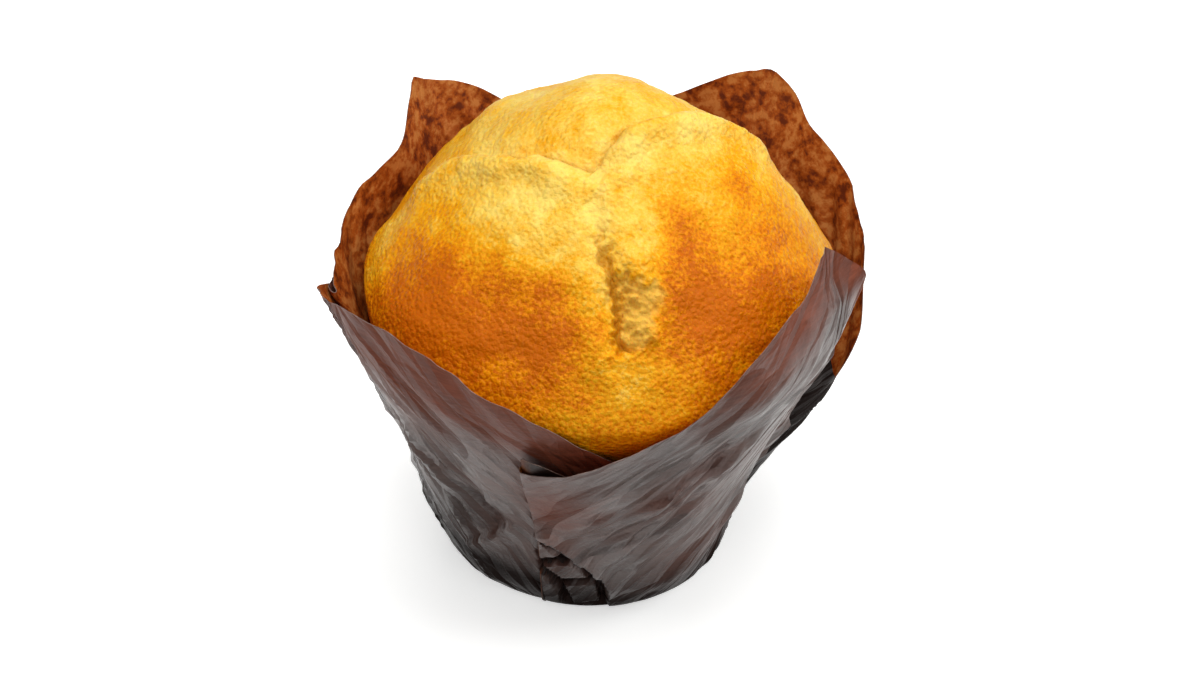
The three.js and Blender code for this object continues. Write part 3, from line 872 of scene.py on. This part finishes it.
def paper_creases(tree, strength):
    """Creases along each petal's pull, facets across the sheet, and fibres: a bump and a grey."""
    sheet = add_node(tree, "UVMap", uv_map="sheet")
    pull = add_node(tree, "UVMap", uv_map="pull")
    # long creases 4.5 mm apart and 20 mm long, and short ones 2 mm apart and 9 mm long
    long_creases, long_grey = crease_field(tree, pull, (50.0, 220.0, 1.0))
    short_creases, short_grey = crease_field(tree, pull, (110.0, 500.0, 1.0))
    # facets about 10 mm across, from the way the sheet was pressed into its mould
    facet = add_node(tree, "TexVoronoi", {"Vector": sheet, "Scale": 100.0}, feature="F1",
                     voronoi_dimensions="2D")
    fibre = add_node(tree, "TexNoise", {"Vector": sheet, "Scale": 1400.0, "Detail": 2.0})
    height = add_node(tree, "Math", (short_creases, 0.2, long_creases), operation="MULTIPLY_ADD")
    height = add_node(tree, "Math", (facet, 0.5, height), operation="MULTIPLY_ADD")
    height = add_node(tree, "Math", (fibre, 0.06, height), operation="MULTIPLY_ADD")
    bump = add_node(tree, "Bump", {"Strength": strength, "Distance": 1.1 * MM, "Height": height})
    grey = add_node(tree, "Mix", {0: 0.25, 6: long_grey, 7: short_grey}, data_type="RGBA")
    return bump, grey


def outside_material(settings):
    """Dark greaseproof paper, calendered smooth: a satin grey sheen over red-brown."""
    material, tree = new_material("Dark greaseproof paper")
    sheet = add_node(tree, "UVMap", uv_map="sheet")
    place = add_node(tree, "TexCoord").outputs["Object"]
    red, paper_shade = (add_node(tree, "Attribute", attribute_name=name).outputs["Fac"]
                   for name in ("red_patch", "paper_shade"))
    bump, grey = paper_creases(tree, 1.5)
    # fibres run across the sheet, about 4 mm long and half a millimetre apart
    along = add_node(tree, "Mapping", {"Vector": place, "Scale": (250.0, 250.0, 2000.0)})
    fibre = add_node(tree, "TexNoise", {"Vector": along, "Scale": 1.0, "Detail": 3.0})
    cloud = add_node(tree, "TexNoise", {"Vector": sheet, "Scale": 45.0, "Detail": 3.0, "Roughness": 0.55})
    patch = add_node(tree, "MapRange", (cloud, 0.42, 0.68, 0.0, 0.3))
    streak = add_node(tree, "MapRange", (fibre, 0.3, 0.7, 0.8, 1.2))
    tone = add_node(tree, "Math", (patch, red), operation="ADD", use_clamp=True)
    base = add_node(tree, "Mix", {0: tone, 6: (*settings.outside, 1), 7: (*settings.outside_red, 1)},
                    data_type="RGBA")
    base = add_node(tree, "Mix", {0: 1.0, 6: base, 7: streak}, data_type="RGBA",
                    blend_type="MULTIPLY")
    # painted shade: the heel, the back right petal's strip beside the pleat and the tuck's gaps turn nearly
    # black
    base = add_node(tree, "Mix", {0: paper_shade, 6: base, 7: (*settings.outside_shade, 1)}, data_type="RGBA")
    # red paper, and paper under painted shade, shine less, and each facet shines by its own grey
    sheen = add_node(tree, "MapRange", (tone, 0.0, 1.0, 0.85, 0.22))
    dull = add_node(tree, "MapRange", (paper_shade, 0.0, 1.0, 1.0, 0.03))
    facet_sheen = add_node(tree, "MapRange", (grey, 0.25, 0.75, 0.35, 1.5))
    roughness = add_node(tree, "MapRange", (tone, 0.0, 1.0, 0.3, 0.5))
    sheen = add_node(tree, "Math", (sheen, dull), operation="MULTIPLY")
    sheen = add_node(tree, "Math", (sheen, facet_sheen), operation="MULTIPLY", use_clamp=True)
    surface = add_node(tree, "BsdfPrincipled", {
        "Base Color": base, "Roughness": roughness, "Normal": bump, "IOR": 1.5,
        "Specular IOR Level": sheen})
    return finish_material(material, surface)


def inside_material(settings):
    """The same paper inside: matt, blotched by grease from the crust."""
    material, tree = new_material("Greaseproof paper soaked inside")
    sheet = add_node(tree, "UVMap", uv_map="sheet")
    # blotches 4 mm and 1.5 mm across, where grease soaked in
    blotch = add_node(tree, "TexNoise", {"Vector": sheet, "Scale": 260.0, "Detail": 4.0, "Roughness": 0.7})
    speck = add_node(tree, "TexNoise", {"Vector": sheet, "Scale": 700.0, "Detail": 2.0})
    mixed = add_node(tree, "Math", (speck, 0.4, blotch), operation="MULTIPLY_ADD")
    tone = add_node(tree, "ValToRGB", {"Fac": mixed})
    set_ramp(tone, [(0.56, settings.inside_dark), (0.69, settings.inside), (0.82, settings.inside_light)])
    # painted shade: inside the tuck and the front pleat's pocket the paper turns nearly black
    tucked = add_node(tree, "Attribute", attribute_name="tucked").outputs["Fac"]
    base = add_node(tree, "Mix", {0: tucked, 6: tone, 7: (*settings.outside_shade, 1)}, data_type="RGBA")
    bump, _ = paper_creases(tree, 0.35)
    surface = add_node(tree, "BsdfPrincipled", {
        "Base Color": base, "Roughness": 0.6, "Normal": bump, "IOR": 1.5,
        "Specular IOR Level": 0.2})
    return finish_material(material, surface)


def edge_material():
    """The cut edge of the paper: pale, undyed fibre."""
    material, tree = new_material("Cut paper edge")
    place = add_node(tree, "TexCoord").outputs["Object"]
    fray = add_node(tree, "TexNoise", {"Vector": place, "Scale": 900.0})
    tone = add_node(tree, "ValToRGB", {"Fac": fray})
    set_ramp(tone, [(0.35, linear("#5A423A")), (0.65, linear("#8A7268"))])
    return finish_material(material, add_node(tree, "BsdfPrincipled", {"Base Color": tone, "Roughness": 0.7}))


def card_material(settings):
    """Matt white card: it bounces soft light and takes a faint shadow."""
    material, tree = new_material("Matt white card")
    return finish_material(material, add_node(tree, "BsdfPrincipled", {
        "Base Color": (*settings.floor_colour, 1), "Roughness": 0.9, "Specular IOR Level": 0.2,
        "Emission Color": (1, 1, 1, 1), "Emission Strength": settings.floor_glow}))


def place_piece(name, bm, materials):
    """Turns a bmesh into an object of the scene, at the origin."""
    mesh = bpy.data.meshes.new(name)
    bm.to_mesh(mesh)
    bm.free()
    for material in materials:
        mesh.materials.append(material)
    obj = bpy.data.objects.new(name, mesh)
    bpy.context.scene.collection.objects.link(obj)
    return obj


# ---- operators ----
class MUFFIN_OT_bake(bpy.types.Operator):
    """Add the muffin with its cracked, golden crust"""

    bl_idname = "muffin.bake"
    bl_label = "Bake the muffin"

    def execute(self, context):
        settings = context.scene.muffin_crust
        muffin = place_piece("muffin_crust", bake_muffin(settings), [crust_material(settings)])
        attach(muffin, "root")
        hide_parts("muffin")
        return {"FINISHED"}


class MUFFIN_OT_fold_case(bpy.types.Operator):
    """Add the tulip case, folded from one square of greaseproof paper"""

    bl_idname = "muffin.fold_case"
    bl_label = "Fold the tulip case"

    def execute(self, context):
        settings = context.scene.muffin_case
        materials = [outside_material(settings), inside_material(settings), edge_material()]
        case = place_piece("folded_case", fold_case(settings), materials)
        solidify = case.modifiers.new("Paper", "SOLIDIFY")
        solidify.thickness = settings.thickness
        solidify.offset = -1
        solidify.material_offset = 1
        solidify.material_offset_rim = 2
        bake_modifiers(case, math.radians(50))
        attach(case, "root")
        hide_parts("tulip_case")
        return {"FINISHED"}


class MUFFIN_OT_studio(bpy.types.Operator):
    """Add the pale floor, the soft lights and the camera"""

    bl_idname = "muffin.studio"
    bl_label = "Set up the studio"

    def execute(self, context):
        settings = context.scene.muffin_studio
        scene = context.scene
        bm = bmesh.new()
        bmesh.ops.create_grid(bm, x_segments=1, y_segments=1, size=settings.floor_size / 2)
        floor = place_piece("studio_floor", bm, [card_material(settings)])
        floor.visible_diffuse = False

        target = Vector((2.0, 0.0, 45.5)) * MM    # the middle of the muffin
        tilt = settings.camera_elevation
        back = Vector((0, -math.cos(tilt), math.sin(tilt)))
        camera = bpy.data.objects.new("camera", bpy.data.cameras.new("camera"))
        camera.data.lens = settings.lens
        camera.data.sensor_width = 36
        camera.data.clip_start = 0.01
        camera.location = target + back * settings.camera_distance
        camera.rotation_euler = (-back).to_track_quat("-Z", "Y").to_euler()
        scene.collection.objects.link(camera)
        scene.camera = camera

        # each light's place and size in metres, and its share of the key light's power
        for name, place, size, share in (
                ("key_light", (0.02, 0.08, 1.1), 0.9, 1.0),
                ("front_light", (0.15, -0.95, 0.65), 0.9, 0.5),
                ("left_light", (-0.9, -0.1, 0.5), 0.6, 0.18),
                ("right_light", (0.9, 0.1, 0.5), 0.6, 0.38)):
            light = bpy.data.objects.new(name, bpy.data.lights.new(name, "AREA"))
            light.data.size = size
            light.data.energy = settings.key_power * share
            light.location = place
            light.rotation_euler = (target - Vector(place)).to_track_quat("-Z", "Y").to_euler()
            scene.collection.objects.link(light)

        world = bpy.data.worlds.new("white_room")
        world.use_nodes = True
        tree = world.node_tree
        direction = add_node(tree, "SeparateXYZ", (add_node(tree, "TexCoord").outputs["Generated"],))
        # the walls are darker below the floor
        wall = add_node(tree, "MapRange",
                        (direction.outputs["Z"], -0.15, 0.3, settings.sky * 0.3, settings.sky))
        tree.links.new(wall.outputs[0], tree.nodes["Background"].inputs["Strength"])
        scene.world = world
        scene.view_settings.view_transform = "Standard"
        return {"FINISHED"}


class MUFFIN_PT_sidebar(bpy.types.Panel):
    """Lists the pieces of the muffin"""

    bl_idname = "MUFFIN_PT_sidebar"
    bl_label = "Muffin"
    bl_space_type = "VIEW_3D"
    bl_region_type = "UI"
    bl_category = "Muffin"

    def draw(self, context):
        for operator, settings in ((MUFFIN_OT_bake, "muffin_crust"), (MUFFIN_OT_fold_case, "muffin_case"),
                                   (MUFFIN_OT_studio, "muffin_studio")):
            box = self.layout.box()
            box.operator(operator.bl_idname)
            group = getattr(context.scene, settings)
            for name in group.__annotations__:
                box.prop(group, name)


CLASSES = (CrustSettings, CaseSettings, StudioSettings, MUFFIN_OT_bake, MUFFIN_OT_fold_case,
           MUFFIN_OT_studio, MUFFIN_PT_sidebar)


def register():
    for cls in CLASSES:
        bpy.utils.register_class(cls)
    bpy.types.Scene.muffin_crust = PointerProperty(type=CrustSettings)
    bpy.types.Scene.muffin_case = PointerProperty(type=CaseSettings)
    bpy.types.Scene.muffin_studio = PointerProperty(type=StudioSettings)


def unregister():
    del bpy.types.Scene.muffin_crust
    del bpy.types.Scene.muffin_case
    del bpy.types.Scene.muffin_studio
    for cls in reversed(CLASSES):
        bpy.utils.unregister_class(cls)


def main():
    register()
    bpy.ops.muffin.bake()
    bpy.ops.muffin.fold_case()
    bpy.ops.muffin.studio()


if __name__ == "__main__":
    main()
